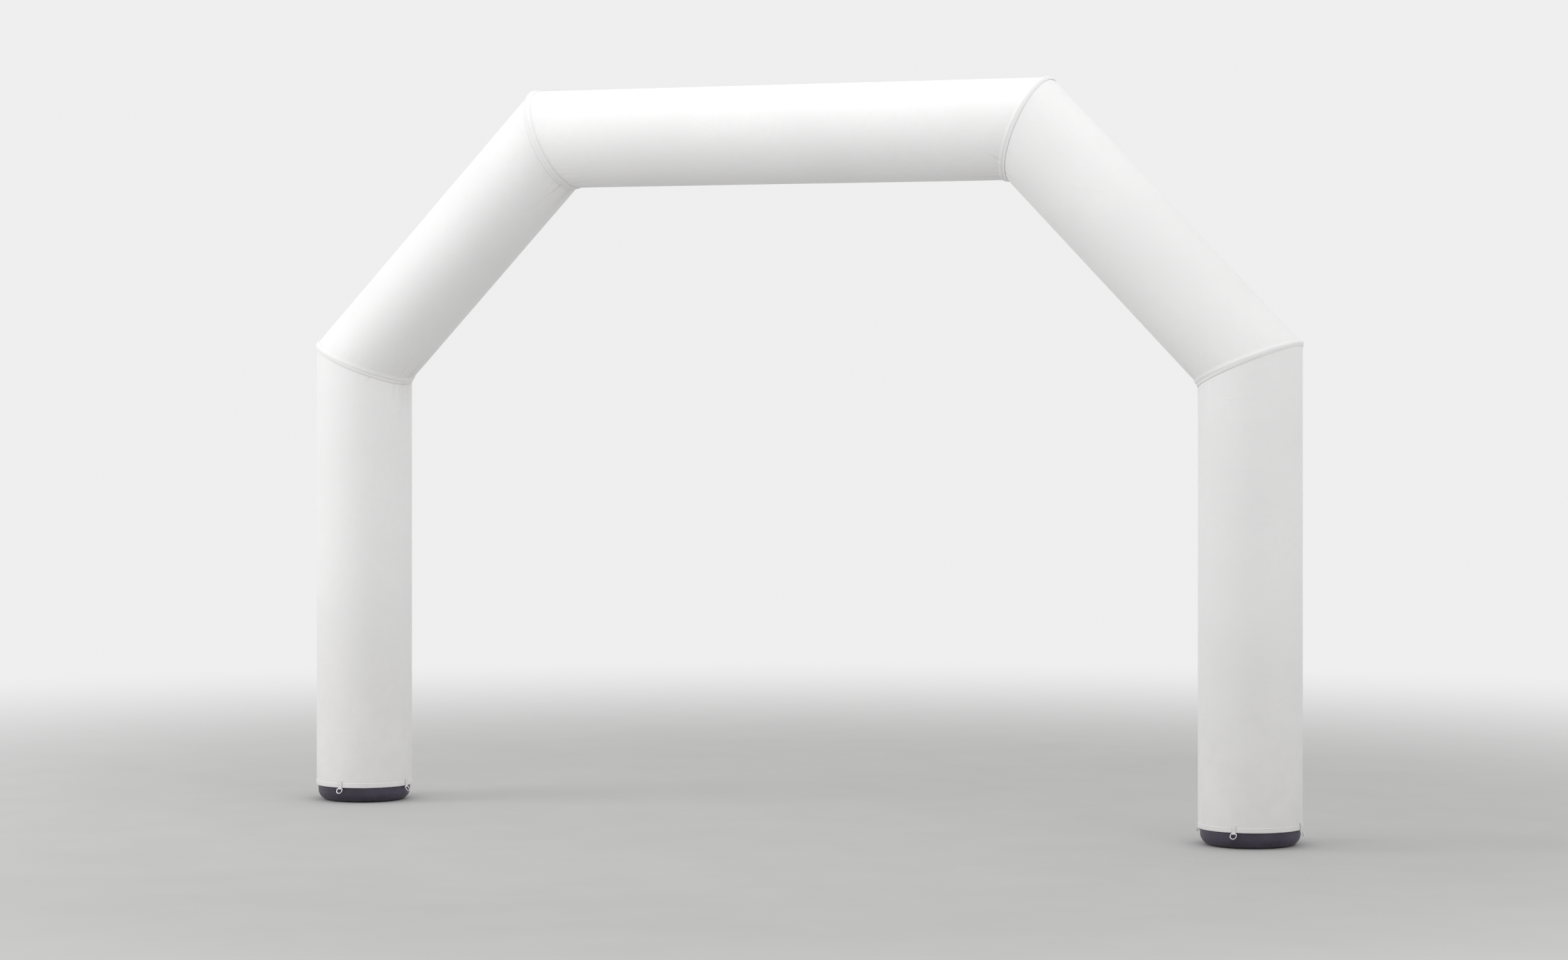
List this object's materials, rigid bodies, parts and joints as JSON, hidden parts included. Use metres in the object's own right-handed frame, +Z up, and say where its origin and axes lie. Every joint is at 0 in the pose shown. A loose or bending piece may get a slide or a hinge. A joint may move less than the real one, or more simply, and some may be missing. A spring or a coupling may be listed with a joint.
{
  "type": "inflatable arch",
  "caption": "White inflatable arch of mitred cloth tubes, standing on two dark round boots, with webbing tabs and steel lashing rings round each hem.",
  "frame": {"origin": "on the ground, midway between the two legs and midway through the depth", "axes": "+X along the span, towards the right leg; +Y away from the front; +Z up"},
  "size_m": [6.506, 0.646, 4.4495],
  "materials": {
    "cloth": "coated white polyester weave, blown up hard, satin",
    "sheeting": "very dark violet-black coated sheeting with a low sheen",
    "webbing": "white woven webbing, stitched",
    "steel": "bright plated steel wire"
  },
  "bodies": {
    "root": {"left_leg": "cloth", "left_diagonal": "cloth", "beam": "cloth", "right_diagonal": "cloth", "right_leg": "cloth", "left_shoulder_welt": "cloth", "left_crown_welt": "cloth", "right_crown_welt": "cloth", "right_shoulder_welt": "cloth", "left_boot": "sheeting", "right_boot": "sheeting", "left_front_tab": "webbing", "left_back_tab": "webbing", "left_inner_tab": "webbing", "left_outer_tab": "webbing", "right_front_tab": "webbing", "right_back_tab": "webbing", "right_inner_tab": "webbing", "right_outer_tab": "webbing", "left_front_ring": "steel", "left_back_ring": "steel", "left_inner_ring": "steel", "left_outer_ring": "steel", "right_front_ring": "steel", "right_back_ring": "steel", "right_inner_ring": "steel", "right_outer_ring": "steel"}
  },
  "joints": []
}
